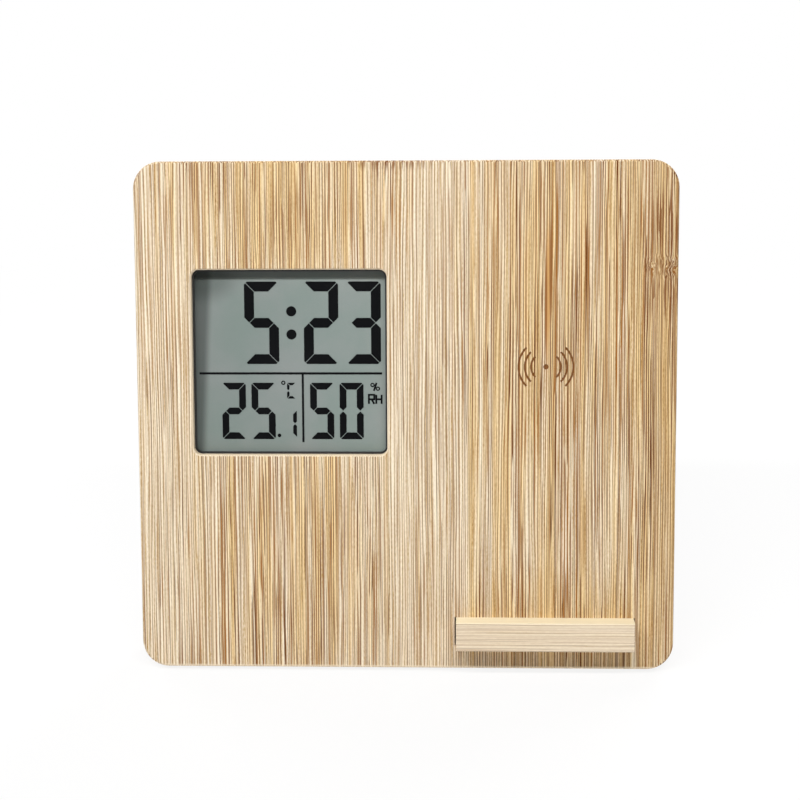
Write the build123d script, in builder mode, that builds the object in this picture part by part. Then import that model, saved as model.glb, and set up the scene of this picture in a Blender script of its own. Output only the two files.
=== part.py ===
from build123d import *
import math
import os

# A desk clock on a bamboo board that leans back on a folding leg. A segment display stands behind
# a window on the left; on the right a charging coil lies behind the wood, over a ledge for a phone.
# Millimetres, Z up, the face looks along -Y, and the origin is the middle of the footprint.
# Places on the board are (x, u, n): x right of its middle, u up from its lower front edge and
# n out of its front face, so that everything behind the face has a negative n.

# Bamboo board, routed from behind
board_width = 160.0
board_height = 152.0
corner_radius = 8.0
edge_round = 0.8
lean_angle = 15.0
skin = 3.0  # wood left in front of the display, the coil and the cells
front_wall = 6.0  # wood left under screws and circuit boards
side_rim = 9.0  # right-hand wall of the pocket
slot_wall = 4.2  # wood between the slot of the ledge and the pocket
pocket_radius = 3.0
recess_fit = 0.3
touch = 0.05  # gap between round or loose pieces that lie on each other

# Display window
window_width = 58.0
window_height = 55.3
window_left_share = 0.16275  # part of the width beside the window that lies left of it
window_from_top = 31.8
window_radius = 2.3
window_bevel = 0.4

# Ledge for the phone, a bar glued into a slot
ledge_width = 53.0
ledge_height = 8.6
ledge_out = 7.3
ledge_in = 9.0
ledge_rise = 7.15
ledge_bevel = 0.25
slot_end_gap = 0.5

# Charging spot and the mark engraved over it
coil_right_share = 0.3775  # part of the width beside the window that lies right of the spot
coil_over_ledge = 75.7
mark_dot_radius = 0.8
mark_first_radius = 4.35
mark_ring_step = 1.87
mark_rings = 3
mark_arc = 90.0
mark_line = 0.6
mark_depth = 0.3

# Display module behind the window
frame_border = 3.0  # frame hidden behind the wood on each side of the window
frame_radius = 3.0
frame_depth = 6.0
lip = 0.8
lip_show = 0.6  # black lip that shows inside the window
glass_cover = 2.1  # glass hidden behind the lip
glass_fit = 0.3
glass_thickness = 1.1
film_thickness = 0.2
film_margin = 0.5
contact_ledge = 4.0  # edge of the front glass that the contact strips press on
strip_width = 2.2
strip_inset = 5.5  # glass left free at each end of a strip
ear_radius = 2.6
ear_out = 2.0
ear_inset = 10.0  # ears in from the frame's sides

# Dark segments of the display: across it as parts of the visible width
segment_cut_share = 0.3  # corner cut as a part of the bar
segment_gap_share = 0.0035
time_digit_width_share = 0.1813
time_bar_share = 0.0515
time_pitch_share = 0.2227
time_right_share = 0.0238
colon_gap_share = 0.0898
colon_radius_share = 0.0264
room_digit_width_share = 0.1259
room_bar_share = 0.0355
room_pitch_share = 0.1558
humidity_right_share = 0.1171
temperature_right_share = 0.5827
rule_width_share = 0.0112
rule_margin_share = 0.0185
divider_right_share = 0.4366
tenth_width_share = 0.0634
tenth_bar_share = 0.0198
tenth_right_share = 0.0335
point_radius_share = 0.0097
degree_radius_share = 0.0114
degree_hole_share = 0.0053
unit_width_share = 0.0449
unit_bar_share = 0.0128
unit_right_share = 0.0387
percent_width_share = 0.0511
letter_width_share = 0.0282
letter_gap_share = 0.0106
sign_line_share = 0.0098
sign_gap_share = 0.022

# Dark segments of the display: upwards as parts of the visible height, and their depth
time_digit_height_share = 0.4547
time_top_share = 0.0573
colon_spread_share = 0.0638
room_digit_height_share = 0.3142
room_bottom_share = 0.0693
divider_drop_share = 0.017
tenth_height_share = 0.1516
tenth_low_share = 0.0102
unit_height_share = 0.0878
percent_height_share = 0.0444
letter_height_share = 0.0499
letter_drop_share = 0.0222
segment_depth = 0.06

# Clock circuit board and what stands on it
clock_board_thickness = 1.2
board_edge = 4.0  # board outside its screw holes
chip_radius = 6.0
chip_height = 1.8
crystal_radius = 1.0
crystal_length = 6.0
sensor_size = 5.0
sensor_round = 0.45
sensor_height = 1.8
sensor_port_radius = 0.9
switch_size = 6.0
switch_bore_depth = 2.0
plunger_radius = 1.75
plunger_out = 0.8
plunger_in = 1.2
plunger_fit = 0.15

# Buttons in the rear cover
button_names = ("mode", "set", "up", "down")
button_radius = 3.5
button_out = 0.9
button_round = 0.5
button_flange = 1.0
button_flange_radius = 4.6
button_fit = 0.25
button_gap = 0.1
button_pitch = 11.0
button_over_middle = 18.0

# Charging coil and its ferrite disc
ferrite_share = 0.57  # radius of the disc as a part of the room between the display and the spot
ferrite_thickness = 1.5
coil_inner_share = 0.42  # radii of the coil as parts of the disc's
coil_outer_share = 0.826
coil_turns = 7
coil_wire_share = 0.345  # radius of the wire as a part of the pitch
coil_room = 1.5  # wood cleared round the disc

# Charger circuit board, which stands on the rear cover behind the coil, and what stands on it
charger_height = 34.0
charger_thickness = 1.6
charger_columns = 8
spacer_height = 4.2
spacer_radius = 2.2
charger_hole_inset = 3.4
charger_chip_size = 5.0
charger_chip_height = 0.9
charger_chip_pitch = 8.0
inductor_size = 6.6
inductor_height = 3.0
inductor_round = 1.1
capacitor_length = 3.2
capacitor_width = 2.5
capacitor_height = 2.0
capacitor_pitch = 4.0
capacitor_count = 4

# Charging inlet in the right edge
inlet_width = 8.94
inlet_height = 3.26
inlet_radius = 1.55
inlet_wall = 0.3
inlet_length = 7.35
inlet_depth = 6.2
tongue_width = 6.7
tongue_thickness = 0.7
tongue_length = 4.5
plug_slot_width = 13.5
plug_slot_height = 7.2

# Rear cover and its screws
cover_thickness = 2.5
cover_lip = 2.5
cover_fit = 0.2
boss_inset = 3.0
boss_radius = 4.0
bay_gap = 0.6
frame_gap = 5.2  # pocket left of the display frame
vent_length = 9.0
vent_width = 1.4
vent_pitch = 3.0
vent_count = 5

# Cells, their tray and door
cell_diameter = 10.5
cell_length = 44.5
cell_nub_radius = 1.9
cell_nub_length = 0.8
cell_gap = 0.5
cell_fit = 0.25
tray_wall = 1.2
tray_floor = 1.0
tray_gap = 0.5
plate_room = 0.6
spring_room = 5.0
contact_sheet = 0.4
contact_width = 7.0
contact_height = 8.0
leaf_rise = 30.0
door_thickness = 1.5
door_fit = 0.25
door_gap = 0.1
hook_spread = 15.0
hook_width = 6.0
hook_thickness = 1.0
hook_reach = 0.6
hook_room = 0.4
scoop_radius = 7.0
scoop_depth = 1.2

# Leads
cell_lead_radius = 0.6
coil_lead_radius = 0.5
lead_pitch = 2.0
lead_bend = 6.0

# Folding leg and its hinge
leg_width = 30.0
leg_thickness = 9.0
leg_angle = 35.0  # between the board's back and the open leg
leg_round = 1.5
stop_gap = 0.05
hinge_gap = 7.0  # pin to bracket plate
pin_radius = 1.5
pin_head_radius = 2.6
pin_head_height = 1.0
pin_fit = 0.05
bush_wall = 0.8
washer_radius = 4.2
washer_thickness = 0.5
washer_gap = 0.1
cheek_thickness = 2.5
cheek_radius = 5.0
bracket_plate = 2.0
bracket_height = 15.0
bracket_from_top = 3.5
bracket_flange = 8.0
bracket_radius = 2.0
bracket_screw_spread = 4.0

# Rubber feet
foot_thickness = 1.2
foot_length = 24.0
foot_width = 9.0
foot_radius = 3.0
foot_inset = 24.0
leg_foot_margin = 1.0

# Screws
cover_screw_head = 2.5
cover_screw_shank = 1.1
cover_screw_length = 9.0
small_screw_head = 1.9
small_screw_head_height = 1.3
small_screw_shank = 1.0
small_screw_bite = 3.2
cover_bite = 2.0
bracket_screw_bite = 9.0
screw_rim = 0.2
screw_fit = 0.15
cross_length = 2.2
cross_width = 0.55
cross_depth = 0.7

# Depths behind the face
lean = math.radians(lean_angle)
tray_depth = cell_diameter + 2 * cell_fit
board_thickness = skin + tray_gap + tray_floor + tray_depth + cover_thickness
back = -board_thickness
cover_inner = back + cover_thickness
glass_front = -(skin + lip + film_thickness)
clock_board_front = -(skin + frame_depth)
clock_board_back = clock_board_front - clock_board_thickness
charger_back = cover_inner + spacer_height
charger_front = charger_back + charger_thickness

# Window, ledge and charging spot on the face
spare_width = board_width - window_width
window_x = -board_width / 2 + window_left_share * spare_width + window_width / 2
window_u = board_height - window_from_top - window_height / 2
ledge_top = ledge_rise + ledge_height
ledge_u = ledge_rise + ledge_height / 2
coil_x = board_width / 2 - coil_right_share * spare_width
coil_u = ledge_top + coil_over_ledge

# Display frame, its ears and the clock board behind it
frame_width = window_width + 2 * frame_border
frame_height = window_height + 2 * frame_border
glass_width = window_width - 2 * lip_show + 2 * glass_cover
glass_height = window_height - 2 * lip_show + 2 * glass_cover
strip_length = glass_width - 2 * strip_inset
ear_u = frame_height / 2 + ear_out
ear_spread = frame_width / 2 - ear_inset
ear_points = [
    (window_x + side * ear_spread, window_u + level * ear_u) for side in (-1, 1) for level in (-1, 1)
]
clock_board_width = 2 * (ear_spread + board_edge)
clock_board_height = 2 * (ear_u + ear_radius)

# Coil and disc in the room right of the display
ferrite_radius = ferrite_share * (coil_x - window_x - frame_width / 2)
coil_inner_radius = coil_inner_share * ferrite_radius
coil_pitch = (coil_outer_share - coil_inner_share) * ferrite_radius / coil_turns
coil_wire_radius = coil_wire_share * coil_pitch

# Pocket and cover
pocket_left = window_x - frame_width / 2 - frame_gap
pocket_right = board_width / 2 - side_rim
pocket_bottom = ledge_top + slot_wall
pocket_top = window_u + clock_board_height / 2 + bay_gap
pocket_x = (pocket_left + pocket_right) / 2
pocket_u = (pocket_bottom + pocket_top) / 2
pocket_width = pocket_right - pocket_left
pocket_height = pocket_top - pocket_bottom
cover_screw_points = [
    (x, u)
    for x in (pocket_left + boss_inset, pocket_right - boss_inset)
    for u in (pocket_bottom + boss_inset, pocket_top - boss_inset)
]
bay_bottom = pocket_bottom + boss_inset + boss_radius + bay_gap

# Tray for the cells
tray_inner_length = cell_length + plate_room + spring_room
tray_inner_height = 2 * cell_diameter + cell_gap + 2 * cell_fit
tray_length = tray_inner_length + 2 * tray_wall
tray_height = tray_inner_height + 2 * tray_wall
tray_x = pocket_right - bay_gap - tray_length / 2
tray_u = bay_bottom + tray_height / 2
cell_n = cover_inner + cell_fit + cell_diameter / 2
cell_rows = [tray_u + side * (cell_diameter + cell_gap) / 2 for side in (-1, 1)]

# Charger board on the cover, between the tray and the top of the pocket
charger_x = coil_x
charger_u = (tray_u + tray_height / 2 + pocket_top) / 2
charger_width = 2 * (pocket_right - bay_gap - charger_x)
charger_column = charger_width / charger_columns
charger_hole_points = [
    (
        charger_x + side * (charger_width / 2 - charger_hole_inset),
        charger_u + level * (charger_height / 2 - charger_hole_inset),
    )
    for side in (-1, 1)
    for level in (-1, 1)
]
inlet_n = charger_front + inlet_height / 2

# Buttons and their switches
button_u = window_u + button_over_middle
first_button_x = window_x - (len(button_names) - 1) / 2 * button_pitch
button_xs = [first_button_x + i * button_pitch for i in range(len(button_names))]
flange_front = cover_inner + button_gap + button_flange
switch_back = flange_front + plunger_out

# Hinge and leg
hinge_u = board_height - bracket_from_top - bracket_height / 2
hinge_n = back - bracket_plate - hinge_gap
leg_lean = math.radians(leg_angle - lean_angle)
spread = math.radians(leg_angle)
heel = (hinge_gap - stop_gap - leg_thickness / 2 * math.cos(spread)) / math.sin(spread)
cheek_inner = leg_width / 2 + washer_thickness + 2 * washer_gap
bracket_width = 2 * (cheek_inner + cheek_thickness + bracket_flange)
bush_radius = pin_radius + pin_fit + bush_wall
bracket_screw_points = [
    (side * (bracket_width - bracket_flange) / 2, hinge_u + level * bracket_screw_spread)
    for side in (-1, 1)
    for level in (-1, 1)
]

# The face in space: the desk is Z = 0, and the footprint is centred on the origin
face_z = foot_thickness + edge_round * math.sin(lean)
hinge_z = face_z + hinge_u * math.cos(lean) + hinge_n * math.sin(lean)
leg_length = (hinge_z - foot_thickness) / math.cos(leg_lean)
ledge_reach = ledge_out * math.cos(lean) - (ledge_rise + ledge_bevel) * math.sin(lean)
hinge_back = hinge_u * math.sin(lean) - hinge_n * math.cos(lean)
leg_back = hinge_back + leg_length * math.sin(leg_lean)
leg_reach = leg_back + leg_thickness / 2 / math.cos(leg_lean)
face_y = (ledge_reach - leg_reach) / 2
FACE = Plane(
    origin=(0, face_y, face_z),
    x_dir=(1, 0, 0),
    z_dir=(0, -math.cos(lean), math.sin(lean)),
)
face_axis = Axis(FACE.origin, FACE.z_dir)


def spot(x, u, n):
    """A plane at (x, u, n) that looks out of the face."""
    return Plane(origin=FACE.from_local_coords((x, u, n)), x_dir=FACE.x_dir, z_dir=FACE.z_dir)


def rear_spot(x, u, n):
    """A plane at (x, u, n) that looks out of the back."""
    return Plane(origin=FACE.from_local_coords((x, u, n)), x_dir=FACE.x_dir, z_dir=-FACE.z_dir)


def side_spot(x, u, n):
    """A plane at (x, u, n) that looks right, with u along its x and n along its y."""
    return Plane(origin=FACE.from_local_coords((x, u, n)), x_dir=FACE.y_dir, z_dir=FACE.x_dir)


def leg_spot(x):
    """A plane across the leg on the hinge pin that looks right, with the leg's length along its x."""
    return Plane(
        origin=(x, face_y + hinge_back, hinge_z),
        x_dir=(0, -math.sin(leg_lean), math.cos(leg_lean)),
        z_dir=(1, 0, 0),
    )


def wood_screw(head_radius, rim, head_height, shank_radius, length):
    """A cross-head screw that hangs from the origin, with the top of its head at Z = 0."""
    with BuildPart() as screw:
        with BuildSketch(Plane.XZ):
            with BuildLine():
                Polyline(
                    (0, 0),
                    (head_radius, 0),
                    (head_radius, -rim),
                    (shank_radius, -head_height),
                    (shank_radius, -length + 2 * shank_radius),
                    (0, -length),
                    close=True,
                )
            make_face()
        revolve(axis=Axis.Z)
        with BuildSketch():
            Rectangle(cross_length, cross_width)
            Rectangle(cross_width, cross_length)
        extrude(amount=-cross_depth, mode=Mode.SUBTRACT)
    return screw.part


def digit_bars(width, height, bar, gap):
    """The corner points of a digit's seven bars, a to g, about the middle of the digit."""
    half = width / 2
    top = height / 2
    cut = segment_cut_share * bar
    step = gap / math.sqrt(2)
    flat = [
        (-half + cut, top),
        (-half + (cut + step) / 2, top - (cut - step) / 2),
        (-half + bar + step, top - bar),
        (half - bar - step, top - bar),
        (half - (cut + step) / 2, top - (cut - step) / 2),
        (half - cut, top),
    ]
    upright = [
        (-half, top - cut),
        (-half, bar / 2 + step),
        (-half + bar / 2, step),
        (-half + bar, bar / 2 + step),
        (-half + bar, top - bar - step),
        (-half + (cut - step) / 2, top - (cut + step) / 2),
    ]
    middle = [
        (-half + bar / 2 + step, 0),
        (-half + bar + step, -bar / 2),
        (half - bar - step, -bar / 2),
        (half - bar / 2 - step, 0),
        (half - bar - step, bar / 2),
        (-half + bar + step, bar / 2),
    ]
    other_side = [(-x, u) for x, u in reversed(upright)]
    return {
        "a": flat,
        "b": other_side,
        "c": [(x, -u) for x, u in reversed(other_side)],
        "d": [(x, -u) for x, u in reversed(flat)],
        "e": [(x, -u) for x, u in reversed(upright)],
        "f": upright,
        "g": middle,
    }


os.makedirs("parts", exist_ok=True)

# Bamboo board: sawn flat to the desk, routed from behind, with the window, the slot of the ledge,
# the engraved mark, the slot for the charging plug and pilot holes for the screws
with BuildPart() as board:
    with BuildSketch(FACE):
        with Locations((0, board_height / 2)):
            RectangleRounded(board_width, board_height, corner_radius)
    extrude(amount=-board_thickness)
    rims = board.faces().sort_by(face_axis)
    fillet(rims[0].edges() + rims[-1].edges(), radius=edge_round)
    split(bisect_by=Plane.XY.offset(foot_thickness), keep=Keep.TOP)
    with BuildSketch(spot(0, 0, -front_wall)):
        with Locations((pocket_x, pocket_u)):
            RectangleRounded(pocket_width, pocket_height, pocket_radius)
        with Locations(*cover_screw_points):
            Circle(boss_radius, mode=Mode.SUBTRACT)
    extrude(amount=-(board_thickness - front_wall), mode=Mode.SUBTRACT)
    with BuildSketch(spot(pocket_x, pocket_u, cover_inner)):
        RectangleRounded(
            pocket_width + 2 * (cover_lip + cover_fit),
            pocket_height + 2 * (cover_lip + cover_fit),
            pocket_radius + cover_lip + cover_fit,
        )
    extrude(amount=-cover_thickness, mode=Mode.SUBTRACT)
    with BuildSketch(spot(0, 0, -skin)):
        with Locations((window_x, window_u)):
            RectangleRounded(frame_width + 2 * recess_fit, frame_height + 2 * recess_fit, frame_radius)
        with Locations((coil_x, coil_u)):
            Circle(ferrite_radius + coil_room)
        with Locations((tray_x, tray_u)):
            Rectangle(tray_length + 2 * recess_fit, tray_height + 2 * recess_fit)
    extrude(amount=-(front_wall - skin), mode=Mode.SUBTRACT)
    with BuildSketch(spot(window_x, window_u, 0)):
        RectangleRounded(window_width, window_height, window_radius)
    extrude(amount=-skin, mode=Mode.SUBTRACT)
    with BuildSketch(spot(window_x, window_u, 0)):
        RectangleRounded(
            window_width + 2 * window_bevel, window_height + 2 * window_bevel, window_radius + window_bevel
        )
    extrude(amount=-window_bevel, taper=45, mode=Mode.SUBTRACT)
    with BuildSketch(spot(coil_x, ledge_u, 0)):
        Rectangle(ledge_width + 2 * slot_end_gap, ledge_height)
    extrude(amount=-ledge_in, mode=Mode.SUBTRACT)
    with BuildSketch(spot(coil_x, coil_u, 0)):
        Circle(mark_dot_radius)
        with BuildLine():
            for ring in range(mark_rings):
                for middle_angle in (0, 180):
                    CenterArc(
                        (0, 0),
                        mark_first_radius + ring * mark_ring_step,
                        middle_angle - mark_arc / 2,
                        mark_arc,
                    )
        trace(line_width=mark_line)
    extrude(amount=-mark_depth, mode=Mode.SUBTRACT)
    with BuildSketch(side_spot(pocket_right, charger_u, inlet_n)):
        SlotOverall(plug_slot_width, plug_slot_height)
    extrude(amount=board_width / 2 - pocket_right, mode=Mode.SUBTRACT)
    with Locations(*[rear_spot(x, u, cover_inner) for x, u in cover_screw_points]):
        Hole(cover_screw_shank + touch, cover_screw_length - cover_thickness)
    with Locations(*[rear_spot(x, u, -front_wall) for x, u in ear_points]):
        Hole(small_screw_shank + touch, small_screw_bite)
    with Locations(*[rear_spot(x, u, back) for x, u in bracket_screw_points]):
        Hole(cover_screw_shank + touch, bracket_screw_bite)
board.part.label = "board"
export_step(board.part, "parts/board.step")

# Ledge: a bamboo bar, a little slimmer where it is glued into its slot
with BuildPart() as phone_ledge:
    with BuildSketch(spot(coil_x, ledge_u, 0)):
        Rectangle(ledge_width, ledge_height)
    extrude(amount=ledge_out)
    chamfer(phone_ledge.faces().sort_by(face_axis)[-1].edges(), length=ledge_bevel)
    with BuildSketch(spot(coil_x, ledge_u, 0)):
        Rectangle(ledge_width - 2 * touch, ledge_height - 2 * touch)
    extrude(amount=-ledge_in)
phone_ledge.part.label = "phone_ledge"
export_step(phone_ledge.part, "parts/phone_ledge.step")

# Display frame: a black moulding whose lip shows round the display, with four screw ears
with BuildPart() as lcd_frame:
    with BuildSketch(spot(window_x, window_u, -skin)):
        RectangleRounded(frame_width, frame_height, frame_radius)
    extrude(amount=-frame_depth)
    with BuildSketch(spot(0, 0, -front_wall)):
        with Locations(*ear_points):
            Circle(ear_radius)
        with Locations((window_x, window_u)):
            with GridLocations(2 * ear_spread, frame_height + ear_out, 2, 2):
                Rectangle(2 * ear_radius, ear_out)
    extrude(amount=-(skin + frame_depth - front_wall))
    with BuildSketch(spot(window_x, window_u, -(skin + lip))):
        Rectangle(glass_width + 2 * glass_fit, glass_height + 2 * glass_fit)
    extrude(amount=-(frame_depth - lip), mode=Mode.SUBTRACT)
    with BuildSketch(spot(window_x, window_u, -skin)):
        RectangleRounded(
            window_width - 2 * lip_show, window_height - 2 * lip_show, window_radius - lip_show
        )
    extrude(amount=-lip, mode=Mode.SUBTRACT)
    with Locations(*[rear_spot(x, u, clock_board_front) for x, u in ear_points]):
        Hole(small_screw_shank + screw_fit, skin + frame_depth - front_wall)
lcd_frame.part.label = "lcd_frame"
export_step(lcd_frame.part, "parts/lcd_frame.step")

# Front polariser: a film between the lip and the front glass
with BuildPart() as lcd_polariser:
    with BuildSketch(spot(window_x, window_u, glass_front)):
        Rectangle(glass_width - 2 * film_margin, glass_height - 2 * film_margin)
    extrude(amount=film_thickness)
lcd_polariser.part.label = "lcd_polariser"
export_step(lcd_polariser.part, "parts/lcd_polariser.step")

# Front glass: the larger plate, whose free edges carry the contacts
with BuildPart() as lcd_front_glass:
    with BuildSketch(spot(window_x, window_u, glass_front)):
        Rectangle(glass_width, glass_height)
    extrude(amount=-glass_thickness)
lcd_front_glass.part.label = "lcd_front_glass"
export_step(lcd_front_glass.part, "parts/lcd_front_glass.step")

# Rear glass: lower than the front glass, so that both contact edges stay free
with BuildPart() as lcd_rear_glass:
    with BuildSketch(spot(window_x, window_u, glass_front - glass_thickness)):
        Rectangle(glass_width, glass_height - 2 * contact_ledge)
    extrude(amount=-glass_thickness)
lcd_rear_glass.part.label = "lcd_rear_glass"
export_step(lcd_rear_glass.part, "parts/lcd_rear_glass.step")

# Reflector: a grey film on the back of the rear glass
with BuildPart() as lcd_reflector:
    with BuildSketch(spot(window_x, window_u, glass_front - 2 * glass_thickness)):
        Rectangle(glass_width - 2 * film_margin, glass_height - 2 * (contact_ledge + film_margin))
    extrude(amount=-film_thickness)
lcd_reflector.part.label = "lcd_reflector"
export_step(lcd_reflector.part, "parts/lcd_reflector.step")

# Segments: the dark state of the display, 5:23 over 25.1 degrees and 50 percent humidity
show_width = window_width - 2 * lip_show
show_height = window_height - 2 * lip_show
show_right = window_x + show_width / 2
show_top = window_u + show_height / 2
show_bottom = window_u - show_height / 2
time_u = show_top - (time_top_share + time_digit_height_share / 2) * show_height
last_time_x = show_right - (time_right_share + time_digit_width_share / 2) * show_width
colon_x = last_time_x - (time_pitch_share + (time_pitch_share + colon_gap_share) / 2) * show_width
time_xs = (
    last_time_x - (2 * time_pitch_share + colon_gap_share) * show_width,
    last_time_x - time_pitch_share * show_width,
    last_time_x,
)
room_low = show_bottom + room_bottom_share * show_height
room_high = room_low + room_digit_height_share * show_height
room_u = (room_low + room_high) / 2
rule_u = (time_u - time_digit_height_share / 2 * show_height + room_high) / 2
divider_x = show_right - divider_right_share * show_width
divider_low = room_low - divider_drop_share * show_height
unit_x = divider_x - (unit_right_share + unit_width_share / 2) * show_width
unit_u = room_high - unit_height_share / 2 * show_height
tenth_x = divider_x - (tenth_right_share + tenth_width_share / 2) * show_width
tenth_u = room_low + (tenth_low_share + tenth_height_share / 2) * show_height
humidity_x = show_right - (humidity_right_share + room_digit_width_share / 2) * show_width
temperature_x = show_right - (temperature_right_share + room_digit_width_share / 2) * show_width
sign_x = show_right - (sign_gap_share + letter_width_share + letter_gap_share / 2) * show_width
time_shares = (time_digit_width_share, time_digit_height_share, time_bar_share)
room_shares = (room_digit_width_share, room_digit_height_share, room_bar_share)
tenth_shares = (tenth_width_share, tenth_height_share, tenth_bar_share)
unit_shares = (unit_width_share, unit_height_share, unit_bar_share)
digits = [(text, x, time_u, time_shares) for text, x in zip("523", time_xs)]
for pair, last_x in (("25", temperature_x), ("50", humidity_x)):
    for place, text in enumerate(pair):
        digit_x = last_x - (1 - place) * room_pitch_share * show_width
        digits.append((text, digit_x, room_u, room_shares))
digits.append(("1", tenth_x, tenth_u, tenth_shares))
digits.append(("C", unit_x, unit_u, unit_shares))
lit_bars = {"0": "abcdef", "1": "bc", "2": "abdeg", "3": "abcdg", "5": "acdfg", "C": "adef"}
with BuildPart() as lcd_segments:
    with BuildSketch(spot(0, 0, -(skin + lip))):
        for text, x, u, (width_share, height_share, bar_share) in digits:
            outlines = digit_bars(
                width_share * show_width,
                height_share * show_height,
                bar_share * show_width,
                segment_gap_share * show_width,
            )
            with Locations((x, u)):
                for letter in lit_bars[text]:
                    Polygon(*outlines[letter], align=None)
        with Locations((colon_x, time_u)):
            with GridLocations(0, 2 * colon_spread_share * show_height, 1, 2):
                Circle(colon_radius_share * show_width)
        point_x = temperature_x + (room_digit_width_share / 2 + 2 * point_radius_share) * show_width
        with Locations((point_x, room_low + 2 * point_radius_share * show_width)):
            Circle(point_radius_share * show_width)
        degree_x = unit_x - (unit_width_share / 2 + 2 * point_radius_share) * show_width
        percent_x = (percent_width_share / 2 - degree_radius_share) * show_width
        percent_u = percent_height_share / 2 * show_height
        percent_middle = room_high - percent_u
        ring_u = percent_u - degree_radius_share * show_width
        with Locations(
            (degree_x, room_high),
            (sign_x - percent_x, percent_middle + ring_u),
            (sign_x + percent_x, percent_middle - ring_u),
        ):
            Circle(degree_radius_share * show_width)
            Circle(degree_hole_share * show_width, mode=Mode.SUBTRACT)
        with Locations((window_x, rule_u)):
            Rectangle(show_width - 2 * rule_margin_share * show_width, rule_width_share * show_width)
        with Locations((divider_x, (rule_u + divider_low) / 2)):
            Rectangle(rule_width_share * show_width, rule_u - divider_low)
        letter_top = room_high - (percent_height_share + letter_drop_share) * show_height
        letter_base = letter_top - letter_height_share * show_height
        letter_middle = (letter_top + letter_base) / 2
        letter_r = sign_x - (letter_width_share + letter_gap_share / 2) * show_width
        letter_r_end = sign_x - letter_gap_share / 2 * show_width
        letter_h = sign_x + letter_gap_share / 2 * show_width
        letter_h_end = sign_x + (letter_width_share + letter_gap_share / 2) * show_width
        with BuildLine():
            Line((sign_x - percent_x / 2, percent_middle - percent_u), (sign_x + percent_x / 2, room_high))
            Polyline(
                (letter_r, letter_base),
                (letter_r, letter_top),
                (letter_r_end, letter_top),
                (letter_r_end, letter_middle),
                (letter_r, letter_middle),
            )
            Line(((letter_r + letter_r_end) / 2, letter_middle), (letter_r_end, letter_base))
            Line((letter_h, letter_base), (letter_h, letter_top))
            Line((letter_h, letter_middle), (letter_h_end, letter_middle))
            Line((letter_h_end, letter_base), (letter_h_end, letter_top))
        trace(line_width=sign_line_share * show_width)
    extrude(amount=segment_depth)
lcd_segments.part.label = "lcd_segments"
export_step(lcd_segments.part, "parts/lcd_segments.step")

# Contact strips: rubber pressed between the front glass and the clock board
strip_height = clock_board_front - (glass_front - glass_thickness)
with BuildPart() as contact_strips:
    with BuildSketch(spot(window_x, window_u, glass_front - glass_thickness)):
        with GridLocations(0, glass_height - contact_ledge, 1, 2):
            Rectangle(strip_length, strip_width)
    extrude(amount=strip_height)
contact_strips.part.label = "contact_strips"
export_step(contact_strips.part, "parts/contact_strips.step")

# Clock board: a plain circuit board on the back of the display frame
with BuildPart() as clock_board:
    with BuildSketch(spot(0, 0, clock_board_front)):
        with Locations((window_x, window_u)):
            Rectangle(clock_board_width, clock_board_height)
        with Locations(*ear_points):
            Circle(small_screw_shank + screw_fit, mode=Mode.SUBTRACT)
    extrude(amount=-clock_board_thickness)
clock_board.part.label = "clock_board"
export_step(clock_board.part, "parts/clock_board.step")

# Screws that hold the clock board and the frame to the wood
display_screw = wood_screw(
    small_screw_head,
    small_screw_head_height,
    small_screw_head_height,
    small_screw_shank,
    small_screw_head_height - clock_board_back - front_wall + small_screw_bite,
)
with BuildPart() as display_screws:
    with Locations(*[rear_spot(x, u, clock_board_back - small_screw_head_height) for x, u in ear_points]):
        add(display_screw)
display_screws.part.label = "display_screws"
export_step(display_screws.part, "parts/display_screws.step")

# Clock chip: a drop of black resin over the bare chip
with BuildPart() as clock_chip:
    dome_radius = (chip_radius**2 + chip_height**2) / (2 * chip_height)
    with BuildSketch(side_spot(window_x, window_u, clock_board_back)):
        with BuildLine():
            Line((0, 0), (chip_radius, 0))
            RadiusArc((chip_radius, 0), (0, -chip_height), dome_radius)
            Line((0, -chip_height), (0, 0))
        make_face()
    revolve(axis=Axis(FACE.from_local_coords((window_x, window_u, 0)), FACE.z_dir))
clock_chip.part.label = "clock_chip"
export_step(clock_chip.part, "parts/clock_chip.step")

# Quartz crystal: a small can lying beside the chip
crystal_n = clock_board_back - crystal_radius - touch
with BuildPart() as quartz_crystal:
    with BuildSketch(side_spot(window_x + 2 * chip_radius, window_u, crystal_n)):
        Circle(crystal_radius)
    extrude(amount=crystal_length)
quartz_crystal.part.label = "quartz_crystal"
export_step(quartz_crystal.part, "parts/quartz_crystal.step")

# Climate sensor: it reads the room air through the vents in the cover
sensor_x = window_x - ear_spread + board_edge
sensor_u = window_u - ear_u + 2 * board_edge
with BuildPart() as climate_sensor:
    with BuildSketch(spot(sensor_x, sensor_u, clock_board_back)):
        RectangleRounded(sensor_size, sensor_size, sensor_round)
    extrude(amount=-sensor_height)
    with Locations(rear_spot(sensor_x, sensor_u, clock_board_back - sensor_height)):
        Hole(sensor_port_radius, sensor_height / 2)
climate_sensor.part.label = "climate_sensor"
export_step(climate_sensor.part, "parts/climate_sensor.step")

# Switch bodies: four small key switches, each with a bore for its plunger
with BuildPart() as switch_bodies:
    with BuildSketch(spot(0, 0, clock_board_back)):
        with Locations(*[(x, button_u) for x in button_xs]):
            Rectangle(switch_size, switch_size)
    extrude(amount=switch_back - clock_board_back)
    with Locations(*[rear_spot(x, button_u, switch_back) for x in button_xs]):
        Hole(plunger_radius + plunger_fit, switch_bore_depth)
switch_bodies.part.label = "switch_bodies"
export_step(switch_bodies.part, "parts/switch_bodies.step")

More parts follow.
